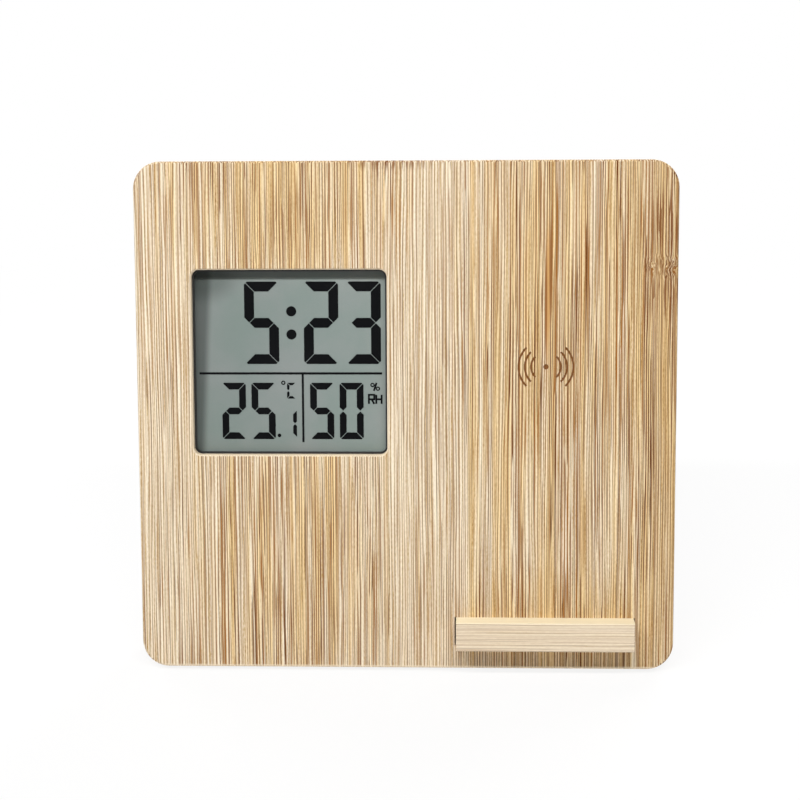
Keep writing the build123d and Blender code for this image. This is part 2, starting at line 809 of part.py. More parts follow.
# Buttons and plungers: each button is caught behind the cover by its flange and rests on the plunger
for button_name, button_x in zip(button_names, button_xs):
    with BuildPart() as button:
        with BuildSketch(spot(button_x, button_u, flange_front)):
            Circle(button_flange_radius)
        extrude(amount=-button_flange)
        with BuildSketch(spot(button_x, button_u, flange_front)):
            Circle(button_radius)
        extrude(amount=back - button_out - flange_front)
        fillet(button.faces().sort_by(face_axis)[0].edges(), radius=button_round)
    button.part.label = f"{button_name}_button"
    export_step(button.part, f"parts/{button_name}_button.step")
    with BuildPart() as plunger:
        with BuildSketch(spot(button_x, button_u, flange_front)):
            Circle(plunger_radius)
        extrude(amount=plunger_out + plunger_in)
    plunger.part.label = f"{button_name}_plunger"
    export_step(plunger.part, f"parts/{button_name}_plunger.step")

# Charging coil: one flat spiral of half turns, wound from the inside out
coil_n = -(skin + touch + coil_wire_radius)
with BuildPart() as charging_coil:
    with BuildLine(spot(coil_x, coil_u, coil_n)) as coil_path:
        for half_turn in range(2 * coil_turns):
            far = half_turn % 2
            CenterArc(
                (-far * coil_pitch / 2, 0),
                coil_inner_radius + half_turn * coil_pitch / 2,
                180 * (1 - far),
                180,
            )
    with BuildSketch(Plane(origin=coil_path.line @ 0, z_dir=coil_path.line % 0)):
        Circle(coil_wire_radius)
    sweep()
charging_coil.part.label = "charging_coil"
export_step(charging_coil.part, "parts/charging_coil.step")
points_per_turn = 48
coil_steps = coil_turns * points_per_turn
coil_points = [coil_path.line @ (step / coil_steps) for step in range(coil_steps + 1)]
coil_least = min(
    (first - second).length
    for place, first in enumerate(coil_points)
    for second in coil_points[place + points_per_turn // 2 :]
)
print("charging_coil least gap to itself, mm:", round(coil_least - 2 * coil_wire_radius, 3))

# Ferrite disc: it closes the field behind the coil
ferrite_front = coil_n - coil_wire_radius - touch
with BuildPart() as ferrite_disc:
    with BuildSketch(spot(coil_x, coil_u, ferrite_front)):
        Circle(ferrite_radius)
    extrude(amount=-ferrite_thickness)
ferrite_disc.part.label = "ferrite_disc"
export_step(ferrite_disc.part, "parts/ferrite_disc.step")

# Charger board: on four spacers on the rear cover, behind the coil
with BuildPart() as charger_board:
    with BuildSketch(spot(0, 0, charger_front)):
        with Locations((charger_x, charger_u)):
            Rectangle(charger_width, charger_height)
        with Locations(*charger_hole_points):
            Circle(small_screw_shank + screw_fit, mode=Mode.SUBTRACT)
    extrude(amount=-charger_thickness)
charger_board.part.label = "charger_board"
export_step(charger_board.part, "parts/charger_board.step")

# Spacers between the charger board and the rear cover
with BuildPart() as board_spacers:
    with BuildSketch(spot(0, 0, cover_inner)):
        with Locations(*charger_hole_points):
            Circle(spacer_radius)
            Circle(small_screw_shank + screw_fit, mode=Mode.SUBTRACT)
    extrude(amount=spacer_height)
board_spacers.part.label = "board_spacers"
export_step(board_spacers.part, "parts/board_spacers.step")

# Screws of the charger board, driven into the rear cover
charger_screw = wood_screw(
    small_screw_head,
    small_screw_head_height,
    small_screw_head_height,
    small_screw_shank,
    small_screw_head_height + charger_thickness + spacer_height + cover_bite,
)
with BuildPart() as charger_screws:
    charger_screw_top = charger_front + small_screw_head_height
    with Locations(*[spot(x, u, charger_screw_top) for x, u in charger_hole_points]):
        add(charger_screw)
charger_screws.part.label = "charger_screws"
export_step(charger_screws.part, "parts/charger_screws.step")

# Charger chips: the charging controller and its power stage
with BuildPart() as charger_chips:
    with BuildSketch(spot(charger_x + charger_column, charger_u, charger_front)):
        with GridLocations(0, charger_chip_pitch, 1, 2):
            Rectangle(charger_chip_size, charger_chip_size)
    extrude(amount=charger_chip_height)
charger_chips.part.label = "charger_chips"
export_step(charger_chips.part, "parts/charger_chips.step")

# Power inductor: a shielded block beside the chips
with BuildPart() as power_inductor:
    with BuildSketch(spot(charger_x - charger_column, charger_u, charger_front)):
        RectangleRounded(inductor_size, inductor_size, inductor_round)
    extrude(amount=inductor_height)
power_inductor.part.label = "power_inductor"
export_step(power_inductor.part, "parts/power_inductor.step")

# Tuning capacitors: a row that tunes the coil
with BuildPart() as tuning_capacitors:
    with BuildSketch(spot(charger_x - 3 * charger_column, charger_u, charger_front)):
        with GridLocations(0, capacitor_pitch, 1, capacitor_count):
            Rectangle(capacitor_length, capacitor_width)
    extrude(amount=capacitor_height)
tuning_capacitors.part.label = "tuning_capacitors"
export_step(tuning_capacitors.part, "parts/tuning_capacitors.step")

# Charging inlet: a folded steel shell with a thin tongue, facing right through the board's edge
inlet_mouth = pocket_right - touch
with BuildPart() as inlet_shell:
    with BuildSketch(side_spot(inlet_mouth, charger_u, inlet_n)):
        RectangleRounded(inlet_width, inlet_height, inlet_radius)
    extrude(amount=-inlet_length)
    with BuildSketch(side_spot(inlet_mouth, charger_u, inlet_n)):
        RectangleRounded(
            inlet_width - 2 * inlet_wall, inlet_height - 2 * inlet_wall, inlet_radius - inlet_wall
        )
    extrude(amount=-inlet_depth, mode=Mode.SUBTRACT)
inlet_shell.part.label = "inlet_shell"
export_step(inlet_shell.part, "parts/inlet_shell.step")

# Tongue of the inlet
with BuildPart() as inlet_tongue:
    with BuildSketch(side_spot(inlet_mouth - inlet_depth, charger_u, inlet_n)):
        Rectangle(tongue_width, tongue_thickness)
    extrude(amount=tongue_length)
inlet_tongue.part.label = "inlet_tongue"
export_step(inlet_tongue.part, "parts/inlet_tongue.step")

# Rear cover: a plastic plate let into the back, with the tray for the cells moulded in one
door_low = tray_u - tray_height / 2 + door_fit
hook_low = tray_u - tray_inner_height / 2 + door_fit
hook_deep = back + 2 * door_thickness
with BuildPart() as rear_cover:
    with BuildSketch(spot(pocket_x, pocket_u, back)):
        RectangleRounded(
            pocket_width + 2 * cover_lip, pocket_height + 2 * cover_lip, pocket_radius + cover_lip
        )
    extrude(amount=cover_thickness)
    with BuildSketch(spot(tray_x, tray_u, cover_inner)):
        Rectangle(tray_length, tray_height)
    extrude(amount=tray_depth + tray_floor)
    with BuildSketch(spot(tray_x, tray_u, back)):
        Rectangle(tray_inner_length, tray_inner_height)
    extrude(amount=cover_thickness + tray_depth, mode=Mode.SUBTRACT)
    with BuildSketch(spot(tray_x, tray_u, back)):
        Rectangle(tray_length, tray_height)
    extrude(amount=door_thickness, mode=Mode.SUBTRACT)
    with BuildSketch(spot(tray_x, tray_u + tray_height / 2, back)):
        Circle(scoop_radius)
    extrude(amount=scoop_depth, mode=Mode.SUBTRACT)
    with BuildSketch(spot(tray_x, tray_u - tray_inner_height / 2 - tray_wall / 2, hook_deep - hook_room)):
        with GridLocations(2 * hook_spread, 0, 2, 1):
            Rectangle(hook_width + 2 * hook_room, tray_wall)
    extrude(amount=hook_thickness + 2 * hook_room, mode=Mode.SUBTRACT)
    with BuildSketch(spot(0, 0, back)):
        with Locations(*[(x, button_u) for x in button_xs]):
            Circle(button_radius + button_fit)
        with Locations((sensor_x, sensor_u)):
            with GridLocations(0, vent_pitch, 1, vent_count):
                SlotOverall(vent_length, vent_width)
    extrude(amount=cover_thickness, mode=Mode.SUBTRACT)
    with Locations(*[rear_spot(x, u, back) for x, u in cover_screw_points]):
        CounterSinkHole(
            cover_screw_shank + screw_fit,
            cover_screw_head + screw_rim + touch,
            cover_thickness,
            counter_sink_angle=90,
        )
    with Locations(*[spot(x, u, cover_inner) for x, u in charger_hole_points]):
        Hole(small_screw_shank + touch, cover_bite)
rear_cover.part.label = "rear_cover"
export_step(rear_cover.part, "parts/rear_cover.step")

# Screws of the rear cover, sunk flush
cover_screw = wood_screw(
    cover_screw_head,
    screw_rim,
    screw_rim + cover_screw_head - cover_screw_shank,
    cover_screw_shank,
    cover_screw_length,
)
with BuildPart() as cover_screws:
    with Locations(*[rear_spot(x, u, back) for x, u in cover_screw_points]):
        add(cover_screw)
cover_screws.part.label = "cover_screws"
export_step(cover_screws.part, "parts/cover_screws.step")

# Battery door: it hooks under the tray's lower wall and swings out about its lower edge
with BuildPart() as battery_door:
    with BuildSketch(spot(tray_x, tray_u, back)):
        Rectangle(tray_length - 2 * door_fit, tray_height - 2 * door_fit)
    extrude(amount=door_thickness - door_gap)
    with BuildSketch(spot(tray_x, hook_low + hook_thickness / 2, back + door_thickness - door_gap)):
        with GridLocations(2 * hook_spread, 0, 2, 1):
            Rectangle(hook_width, hook_thickness)
    extrude(amount=hook_deep + hook_thickness - back - door_thickness + door_gap)
    hook_end = door_low - door_fit - hook_reach
    with BuildSketch(spot(tray_x, (hook_end + hook_low + hook_thickness) / 2, hook_deep)):
        with GridLocations(2 * hook_spread, 0, 2, 1):
            Rectangle(hook_width, hook_low + hook_thickness - hook_end)
    extrude(amount=hook_thickness)
battery_door.part.label = "battery_door"
export_step(battery_door.part, "parts/battery_door.step")

# Cells: two small dry cells, the lower with its nub to the left and the upper to the right
tray_inner_left = tray_x - tray_inner_length / 2
with BuildPart() as cells:
    for row_u, inward in zip(cell_rows, (1, -1)):
        nub_end = tray_x - inward * (tray_inner_length / 2 - plate_room)
        with BuildSketch(side_spot(nub_end + inward * cell_nub_length, row_u, cell_n)):
            Circle(cell_diameter / 2)
        extrude(amount=inward * (cell_length - cell_nub_length))
        with BuildSketch(side_spot(nub_end, row_u, cell_n)):
            Circle(cell_nub_radius)
        extrude(amount=inward * cell_nub_length)
cells.part.label = "cells"
export_step(cells.part, "parts/cells.step")


def end_contacts(wall_x, inward, plate_u, spring_u, linked):
    """A plate for a nub and a bent leaf for a flat end on one end wall of the tray."""
    leaf_length = (spring_room - 2 * contact_sheet) / math.cos(math.radians(leaf_rise))
    leaf_turn = inward * leaf_rise
    with BuildPart() as contacts:
        with BuildSketch(side_spot(wall_x, 0, cell_n)):
            with Locations((plate_u, 0), (spring_u, 0)):
                Rectangle(contact_width, contact_height)
            if linked:
                with Locations(((plate_u + spring_u) / 2, 0)):
                    Rectangle(abs(spring_u - plate_u), contact_height / 2)
        extrude(amount=inward * contact_sheet)
        leaf_x = wall_x + inward * (contact_sheet + leaf_length / 2 * math.cos(math.radians(leaf_rise)))
        with BuildSketch(
            Plane(
                origin=FACE.from_local_coords((leaf_x, spring_u - contact_width / 4, cell_n)),
                x_dir=FACE.x_dir,
                z_dir=FACE.y_dir,
            )
        ):
            Rectangle(leaf_length, contact_sheet, rotation=leaf_turn)
        extrude(amount=contact_width / 2)
    return contacts.part


# Contacts on the left wall of the tray, one for each lead
with BuildPart() as cell_contacts:
    add(end_contacts(tray_inner_left, 1, cell_rows[0], cell_rows[1], False))
cell_contacts.part.label = "cell_contacts"
export_step(cell_contacts.part, "parts/cell_contacts.step")

# Bridge on the right wall of the tray, which joins the two cells
with BuildPart() as cell_bridge:
    add(end_contacts(tray_inner_left + tray_inner_length, -1, cell_rows[1], cell_rows[0], True))
cell_bridge.part.label = "cell_bridge"
export_step(cell_bridge.part, "parts/cell_bridge.step")

# Cell leads: from the tray's left wall across the pocket and up to the clock board
cell_lead_n = clock_board_back - cell_lead_radius - touch
tray_left = tray_x - tray_length / 2
lead_x = window_x + ear_spread / 2
lead_end = window_u - 2 * chip_radius
with BuildPart() as cell_leads:
    for lead_shift in (0, lead_pitch):
        with BuildLine(spot(0, 0, cell_lead_n)) as cell_route:
            FilletPolyline(
                (tray_left, tray_u + lead_shift),
                (lead_x + lead_shift, tray_u + lead_shift),
                (lead_x + lead_shift, lead_end),
                radius=lead_bend,
            )
        with BuildSketch(Plane(origin=cell_route.line @ 0, z_dir=cell_route.line % 0)):
            Circle(cell_lead_radius)
        sweep()
cell_leads.part.label = "cell_leads"
export_step(cell_leads.part, "parts/cell_leads.step")

# Coil leads: the two ends of the coil, straight back from the disc to the charger board
coil_lead_top = ferrite_front - ferrite_thickness - touch
with BuildPart() as coil_leads:
    with BuildSketch(spot(coil_x, coil_u, coil_lead_top)):
        with GridLocations(0, lead_pitch, 1, 2):
            Circle(coil_lead_radius)
    extrude(amount=charger_front - coil_lead_top)
coil_leads.part.label = "coil_leads"
export_step(coil_leads.part, "parts/coil_leads.step")

# Leg: a bamboo bar whose square upper end meets the bracket and stops the leg when it is open
leg_tail = leg_length + leg_thickness / 2 * math.tan(leg_lean)
with BuildPart() as stand_leg:
    with BuildSketch(leg_spot(-leg_width / 2)):
        with Locations(((heel - leg_tail) / 2, 0)):
            Rectangle(heel + leg_tail, leg_thickness)
    extrude(amount=leg_width)
    leg_axis = Axis((0, 0, 0), leg_spot(0).x_dir)
    fillet(stand_leg.edges().filter_by(leg_axis), radius=leg_round)
    with BuildSketch(leg_spot(-leg_width / 2)):
        Circle(bush_radius + touch)
    extrude(amount=leg_width, mode=Mode.SUBTRACT)
    split(bisect_by=Plane.XY.offset(foot_thickness), keep=Keep.TOP)
stand_leg.part.label = "stand_leg"
export_step(stand_leg.part, "parts/stand_leg.step")

# Bush: a brass tube pressed across the leg
with BuildPart() as leg_bush:
    with BuildSketch(leg_spot(-leg_width / 2)):
        Circle(bush_radius)
        Circle(pin_radius + pin_fit, mode=Mode.SUBTRACT)
    extrude(amount=leg_width)
leg_bush.part.label = "leg_bush"
export_step(leg_bush.part, "parts/leg_bush.step")

# Rubber foot on the lower end of the leg
with BuildPart() as leg_foot:
    with BuildSketch(Plane((0, face_y + leg_back, 0))):
        Rectangle(
            leg_width - 2 * (leg_round + leg_foot_margin),
            leg_thickness / math.cos(leg_lean) - 2 * leg_foot_margin,
        )
    extrude(amount=foot_thickness)
leg_foot.part.label = "leg_foot"
export_step(leg_foot.part, "parts/leg_foot.step")

# Hinge bracket: a plate with two cheeks that carry the pin
with BuildPart() as hinge_bracket:
    with BuildSketch(spot(0, hinge_u, back)):
        RectangleRounded(bracket_width, bracket_height, bracket_radius)
    extrude(amount=-bracket_plate)
    for cheek_x in (-cheek_inner - cheek_thickness, cheek_inner):
        with BuildSketch(side_spot(cheek_x, hinge_u, hinge_n)):
            Circle(cheek_radius)
            with Locations((0, hinge_gap / 2)):
                Rectangle(2 * cheek_radius, hinge_gap)
            Circle(pin_radius + touch, mode=Mode.SUBTRACT)
        extrude(amount=cheek_thickness)
    with Locations(*[rear_spot(x, u, back - bracket_plate) for x, u in bracket_screw_points]):
        Hole(cover_screw_shank + screw_fit, bracket_plate)
hinge_bracket.part.label = "hinge_bracket"
export_step(hinge_bracket.part, "parts/hinge_bracket.step")

# Screws of the bracket
bracket_screw = wood_screw(
    cover_screw_head,
    small_screw_head_height,
    small_screw_head_height,
    cover_screw_shank,
    small_screw_head_height + bracket_plate + bracket_screw_bite,
)
with BuildPart() as bracket_screws:
    with Locations(
        *[rear_spot(x, u, back - bracket_plate - small_screw_head_height) for x, u in bracket_screw_points]
    ):
        add(bracket_screw)
bracket_screws.part.label = "bracket_screws"
export_step(bracket_screws.part, "parts/bracket_screws.step")

# Hinge pin: riveted over at both ends
pin_half = cheek_inner + cheek_thickness + touch
with BuildPart() as hinge_pin:
    with BuildSketch(side_spot(-pin_half, hinge_u, hinge_n)):
        Circle(pin_radius)
    extrude(amount=2 * pin_half)
    for head_x in (-pin_half - pin_head_height, pin_half):
        with BuildSketch(side_spot(head_x, hinge_u, hinge_n)):
            Circle(pin_head_radius)
        extrude(amount=pin_head_height)
hinge_pin.part.label = "hinge_pin"
export_step(hinge_pin.part, "parts/hinge_pin.step")

# Washers between the leg and the cheeks
with BuildPart() as hinge_washers:
    for washer_x in (-cheek_inner + washer_gap, cheek_inner - washer_gap - washer_thickness):
        with BuildSketch(side_spot(washer_x, hinge_u, hinge_n)):
            Circle(washer_radius)
            Circle(pin_radius + pin_fit, mode=Mode.SUBTRACT)
        extrude(amount=washer_thickness)
hinge_washers.part.label = "hinge_washers"
export_step(hinge_washers.part, "parts/hinge_washers.step")

# Rubber feet under the board
board_sole_y = face_y + edge_round * math.cos(lean) + (board_thickness - edge_round) / math.cos(lean) / 2
with BuildPart() as base_feet:
    with BuildSketch(Plane((0, board_sole_y, 0))):
        with GridLocations(board_width - 2 * foot_inset, 0, 2, 1):
            RectangleRounded(foot_length, foot_width, foot_radius)
    extrude(amount=foot_thickness)
base_feet.part.label = "base_feet"
export_step(base_feet.part, "parts/base_feet.step")
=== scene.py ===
import math

import bpy
from mathutils import Matrix, Vector

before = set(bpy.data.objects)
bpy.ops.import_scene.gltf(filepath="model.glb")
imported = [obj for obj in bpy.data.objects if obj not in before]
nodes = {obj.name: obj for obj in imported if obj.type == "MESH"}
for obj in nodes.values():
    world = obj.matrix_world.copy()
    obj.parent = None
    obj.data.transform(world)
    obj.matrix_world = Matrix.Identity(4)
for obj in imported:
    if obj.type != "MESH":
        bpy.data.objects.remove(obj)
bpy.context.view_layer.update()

# Bamboo board: narrow strips of split bamboo glued edge to edge, planed, routed from behind and
# rounded at the corners. The face is sanded and wiped with a thin satin lacquer, and the charging
# mark is burnt in with a laser, so its grooves are dark.
lean = math.radians(15)
face_place = (0, 0.053197, 0.012797)


def tone(red, green, blue):
    """A colour as the eye reads it, 0 to 255, turned into the linear values that a shader needs."""
    parts = [value / 255 for value in (red, green, blue)]
    linear = [v / 12.92 if v <= 0.04045 else ((v + 0.055) / 1.055) ** 2.4 for v in parts]
    return (*linear, 1.0)


def put(tree, kind, inputs=None, **settings):
    """One shader node, its settings, and its inputs given as values or as sockets to link."""
    made = tree.nodes.new(kind)
    for name, value in settings.items():
        setattr(made, name, value)
    for socket, value in (inputs or {}).items():
        if isinstance(value, bpy.types.NodeSocket):
            tree.links.new(value, made.inputs[socket])
        else:
            made.inputs[socket].default_value = value
    return made


def sums(tree, operation, first, second=0.0, clamp=False):
    """The result of one sum on two values or sockets."""
    terms = {0: first, 1: second}
    return put(tree, "ShaderNodeMath", terms, operation=operation, use_clamp=clamp).outputs[0]


def plus(tree, first, second):
    """Two values added."""
    return sums(tree, "ADD", first, second)


def minus(tree, first, second):
    """The second value taken from the first."""
    return sums(tree, "SUBTRACT", first, second)


def times(tree, first, second):
    """Two values multiplied."""
    return sums(tree, "MULTIPLY", first, second)


def centred(tree, noise):
    """Noise from 0 to 1 moved to lie about nought."""
    return minus(tree, noise, 0.5)


def steps(tree, operation, first, second=(0, 0, 0), result="Vector"):
    """The result of one sum on two places."""
    terms = {0: first, 1: second}
    return put(tree, "ShaderNodeVectorMath", terms, operation=operation).outputs[result]


def stretch(tree, place, by):
    """A place multiplied in each direction."""
    return steps(tree, "MULTIPLY", place, by)


def ramp(tree, value, stops):
    """A colour that runs through stops, each a place from 0 to 1 and a colour."""
    made = put(tree, "ShaderNodeValToRGB", {"Fac": value})
    while len(made.color_ramp.elements) < len(stops):
        made.color_ramp.elements.new(0.5)
    for element, (place, colour) in zip(made.color_ramp.elements, stops):
        element.position = place
        element.color = colour
    return made.outputs["Color"]


def fade(tree, value, start, end, low=0.0, high=1.0):
    """A value that runs smoothly from low at start to high at end."""
    limits = {"Value": value, "From Min": start, "From Max": end, "To Min": low, "To Max": high}
    made = put(tree, "ShaderNodeMapRange", limits, interpolation_type="SMOOTHSTEP")
    return made.outputs["Result"]


def blend_colours(tree, factor, first, second, way="MIX"):
    """Two colours mixed by a factor."""
    wants = {0: factor, 6: first, 7: second}
    return put(tree, "ShaderNodeMix", wants, data_type="RGBA", blend_type=way).outputs[2]


def coat(tree, under, mask, share, colour):
    """A colour laid over what is under it where a mask shows, at a share of its full strength."""
    return blend_colours(tree, times(tree, mask, share), under, colour)


def cloud(tree, place, scale, detail=2.0, rough=0.5):
    """Soft noise from 0 to 1 about a half."""
    wants = {"Vector": place, "Scale": scale, "Detail": detail, "Roughness": rough}
    return put(tree, "ShaderNodeTexNoise", wants).outputs["Fac"]


def own_place(tree):
    """The piece's own coordinates."""
    return put(tree, "ShaderNodeTexCoord").outputs["Object"]


def turned_place(tree, turn, shift):
    """The piece's own coordinates, turned and then shifted."""
    moves = {"Vector": own_place(tree), "Rotation": turn, "Location": shift}
    return put(tree, "ShaderNodeMapping", moves).outputs["Vector"]


def new_group(name, inputs, outputs):
    """An empty shader group with named sockets, its tree, and its input node's sockets."""
    tree = bpy.data.node_groups.new(name, "ShaderNodeTree")
    for label, kind, value in inputs:
        socket = tree.interface.new_socket(label, in_out="INPUT", socket_type=kind)
        if value is not None:
            socket.default_value = value
    for label, kind in outputs:
        tree.interface.new_socket(label, in_out="OUTPUT", socket_type=kind)
    return tree, tree.nodes.new("NodeGroupInput").outputs


def new_finish(name):
    """A fresh material, its tree and its shader."""
    made = bpy.data.materials.new(name)
    made.use_nodes = True
    return made, made.node_tree, made.node_tree.nodes["Principled BSDF"]


def lay_figure(tree, shader, group, inputs, strength, deep):
    """Places a group in a finish and feeds its colour, roughness and relief to the shader."""
    figure = put(tree, "ShaderNodeGroup", inputs, node_tree=group)
    tree.links.new(figure.outputs["Colour"], shader.inputs["Base Color"])
    tree.links.new(figure.outputs["Roughness"], shader.inputs["Roughness"])
    relief = {"Height": figure.outputs["Height"], "Strength": strength, "Distance": deep}
    bump = put(tree, "ShaderNodeBump", relief)
    tree.links.new(bump.outputs["Normal"], shader.inputs["Normal"])
    return figure


figure_outputs = [
    ("Colour", "NodeSocketColor"),
    ("Roughness", "NodeSocketFloat"),
    ("Height", "NodeSocketFloat"),
]
grain_inputs = [
    ("Place", "NodeSocketVector", None),
    ("Lines", "NodeSocketFloat", 1.0),
    ("Pale", "NodeSocketFloat", 0.0),
    ("Warm", "NodeSocketFloat", 0.0),
    ("Ragged", "NodeSocketFloat", 0.0),
]
grain, given = new_group("bamboo grain", grain_inputs, figure_outputs)


def streaks(place, wave, detail=2.0, rough=0.5):
    """Noise drawn out along the fibres, by waves per metre across, into and along the wood."""
    return cloud(grain, stretch(grain, place, wave), 1.0, detail, rough)


# Fibres stray a little to each side, and at a knuckle of the cane they are torn about.
fibre_stray = 0.0016
knuckle_pull = 0.004
wander = times(grain, centred(grain, streaks(given["Place"], (60, 60, 9))), fibre_stray)
torn = times(grain, centred(grain, streaks(given["Place"], (620, 620, 240))), given["Ragged"])
aside = plus(grain, wander, times(grain, torn, knuckle_pull))
sway = put(grain, "ShaderNodeCombineXYZ", {"X": aside}).outputs[0]
place = steps(grain, "ADD", given["Place"], sway)
tuft = streaks(place, (3900, 2600, 26), rough=0.6)
fibre = streaks(place, (2100, 1500, 15), rough=0.6)
strip = streaks(place, (430, 320, 9))
band = streaks(place, (85, 70, 4))
speck = streaks(place, (3200, 3200, 900), detail=1.0)
calm = streaks(place, (260, 190, 8))
breaks = streaks(place, (900, 700, 34), detail=1.0)


def fine_lines(wave, drift, start, end, low, high):
    """A comb of fine lines that drifts with the strips, and comes and goes along them."""
    across = steps(grain, "DOT_PRODUCT", place, wave, "Value")
    comb = sums(grain, "SINE", plus(grain, across, drift))
    return times(grain, comb, fade(grain, breaks, start, end, low, high))


# Two combs, of which one is strong where the other is weak.
strip_drift = times(grain, strip, 16.0)
thin_drift = times(grain, strip_drift, 1.3)
comb = fine_lines((6600, 5200, 0), strip_drift, 0.36, 0.60, low=0.04, high=0.19)
thin = fine_lines((8500, -6700, 0), thin_drift, 0.64, 0.40, low=0.05, high=0.22)
mixed = plus(grain, comb, thin)
grain_shares = (
    (calm, -0.14),
    (tuft, 0.5),
    (fibre, 0.2),
    (strip, 0.06),
    (band, 0.1),
    (speck, 0.35),
)
for part, share in grain_shares:
    mixed = plus(grain, mixed, times(grain, centred(grain, part), share))
middle_tone = 0.5
warm_darkening = 0.055
mixed = times(grain, mixed, given["Lines"])
mixed = plus(grain, plus(grain, mixed, middle_tone), given["Pale"])
mixed = minus(grain, mixed, times(grain, given["Warm"], warm_darkening))
wood_stops = [
    (0.26, tone(132, 93, 28)),
    (0.38, tone(178, 142, 84)),
    (0.46, tone(209, 181, 139)),
    (0.53, tone(221, 201, 174)),
    (0.61, tone(233, 215, 189)),
    (0.72, tone(252, 239, 214)),
]
wood = ramp(grain, mixed, wood_stops)

# Dark fibre bundles in three layers: waves per metre, a shift that keeps the layers apart, where a
# line starts and is full, its strength and colour, how much its flanks pale, and its comb.
line_layers = (
    ((1100, 800, 10), (0.11, 0.07, 0.03), 0.53, 0.63, 0.25, tone(201, 152, 88), 0.0, 0.0),
    ((3300, 2300, 10), (0.21, 0.17, 0.13), 0.565, 0.605, 0.95, tone(150, 94, 12), 0.5, comb),
    ((3200, 2200, 10), (0.57, 0.41, 0.37), 0.605, 0.645, 1.0, tone(106, 58, 0), 0.6, thin),
)
warm_lines = 0.038
comb_hold = 0.7
flank_start, flank_full = 0.07, 0.04
flank_tone = tone(255, 243, 216)
busy = fade(grain, calm, 0.36, 0.54, low=0.5, high=1.0)
shown = times(grain, busy, given["Lines"])
for wave, shift, low, high, strength, line_tone, flank, followed in line_layers:
    rise = streaks(steps(grain, "ADD", place, shift), wave, detail=1.0)
    rise = plus(grain, rise, times(grain, given["Warm"], warm_lines))
    rise = minus(grain, rise, times(grain, followed, comb_hold))
    beside = times(grain, fade(grain, rise, low - flank_start, low - flank_full), shown)
    wood = coat(grain, wood, beside, flank, flank_tone)
    line = times(grain, fade(grain, rise, low, high), shown)
    wood = coat(grain, wood, line, strength, line_tone)

# Some strips are more golden than their neighbours, and the lacquer is shinier on pale wood.
band_gold = 1.5
strip_gold = 4.0
gold_tone = tone(252, 239, 208)
gold = times(grain, centred(grain, band), band_gold)
gold = plus(grain, gold, times(grain, centred(grain, strip), strip_gold))
gold = sums(grain, "ADD", gold, given["Warm"], clamp=True)
wood = blend_colours(grain, gold, wood, gold_tone, "MULTIPLY")
rough = fade(grain, mixed, 0.3, 0.7, low=0.58, high=0.46)
put(grain, "NodeGroupOutput", {"Colour": wood, "Roughness": rough, "Height": mixed})


def bamboo(name, turn, shift, lines=1.0, pale=0.0, warm=0.0):
    """A bamboo finish whose grain runs along the third axis after the turn, and its main nodes."""
    made, tree, shader = new_finish(name)
    spot = turned_place(tree, turn, shift)
    inputs = {"Place": spot, "Lines": lines, "Pale": pale, "Warm": warm}
    figure = lay_figure(tree, shader, grain, inputs, strength=0.35, deep=0.0002)
    shader.inputs["Specular IOR Level"].default_value = 0.25
    return made, tree, spot, figure, shader


def smudge(tree, spot, x, up, half_x, half_up, core=0.35):
    """A soft round patch on the face, 1 in its core and 0 outside it."""
    away = steps(tree, "SUBTRACT", spot, (x, 0, up))
    away = stretch(tree, away, (1 / half_x, 0, 1 / half_up))
    return fade(tree, steps(tree, "LENGTH", away, result="Value"), 1.0, core)


def dashes(tree, spot, wave, share, soft=0.04):
    """Slim dashes with tapering ends, where the cut face crosses the ends of dark fibre bundles."""
    wants = {"Vector": stretch(tree, spot, wave), "Scale": 1.0}
    lozenge = put(tree, "ShaderNodeTexVoronoi", wants, feature="F1").outputs["Color"]
    pick = put(tree, "ShaderNodeSeparateColor", {"Color": lozenge}).outputs["Red"]
    return fade(tree, pick, share, share - soft)


def dress(node, material):
    """Gives a CAD node its finish."""
    for slot in nodes[node].material_slots:
        slot.material = material


board_finish, tree, spot, figure, shader = bamboo("board bamboo", (lean, 0, 0), face_place)
knuckle = smudge(tree, spot, 0.0762, 0.1210, 0.0085, 0.0048)
tree.links.new(knuckle, figure.inputs["Ragged"])

# More golden or, below nought, paler parts of the face, which also have quieter lines: middle
# across and up, half width, half height, and how golden.
golden_patches = (
    (-0.034, 0.142, 0.05, 0.036, 0.75),
    (0.060, 0.085, 0.058, 0.14, 0.7),
    (-0.034, 0.03, 0.042, 0.05, 0.4),
    (0.0415, 0.014, 0.036, 0.022, 0.4),
    (0.078, 0.08, 0.018, 0.16, 0.25),
    (0.006, 0.08, 0.022, 0.18, -0.35),
    (-0.072, 0.07, 0.016, 0.16, -0.2),
    (0.056, 0.048, 0.03, 0.045, -0.25),
)
golden = 0.0
for x, up, half_x, half_up, share in golden_patches:
    patch = smudge(tree, spot, x, up, half_x, half_up)
    golden = plus(tree, golden, times(tree, patch, share))
quiet_lines = fade(tree, golden, -0.4, 0.3, low=0.78, high=1.0)
tree.links.new(golden, figure.inputs["Warm"])
tree.links.new(quiet_lines, figure.inputs["Lines"])

# Dark dashes in and round the knuckle, over the display and at the top edge.
long_dash = dashes(tree, spot, (2500, 700, 66), 0.31)
short_dash = dashes(tree, spot, (1900, 900, 190), 0.4)
dashed_parts = (
    (knuckle, short_dash, 0.6),
    (smudge(tree, spot, 0.0765, 0.1335, 0.0078, 0.0140), long_dash, 1.0),
    (smudge(tree, spot, 0.0765, 0.1125, 0.0085, 0.0095), long_dash, 0.9),
    (smudge(tree, spot, -0.0345, 0.131, 0.008, 0.02), long_dash, 0.6),
    (smudge(tree, spot, -0.0045, 0.1527, 0.022, 0.0045), short_dash, 0.8),
)
stain = 0.0
for patch, dash, share in dashed_parts:
    stain = sums(tree, "MAXIMUM", stain, times(tree, times(tree, patch, dash), share))

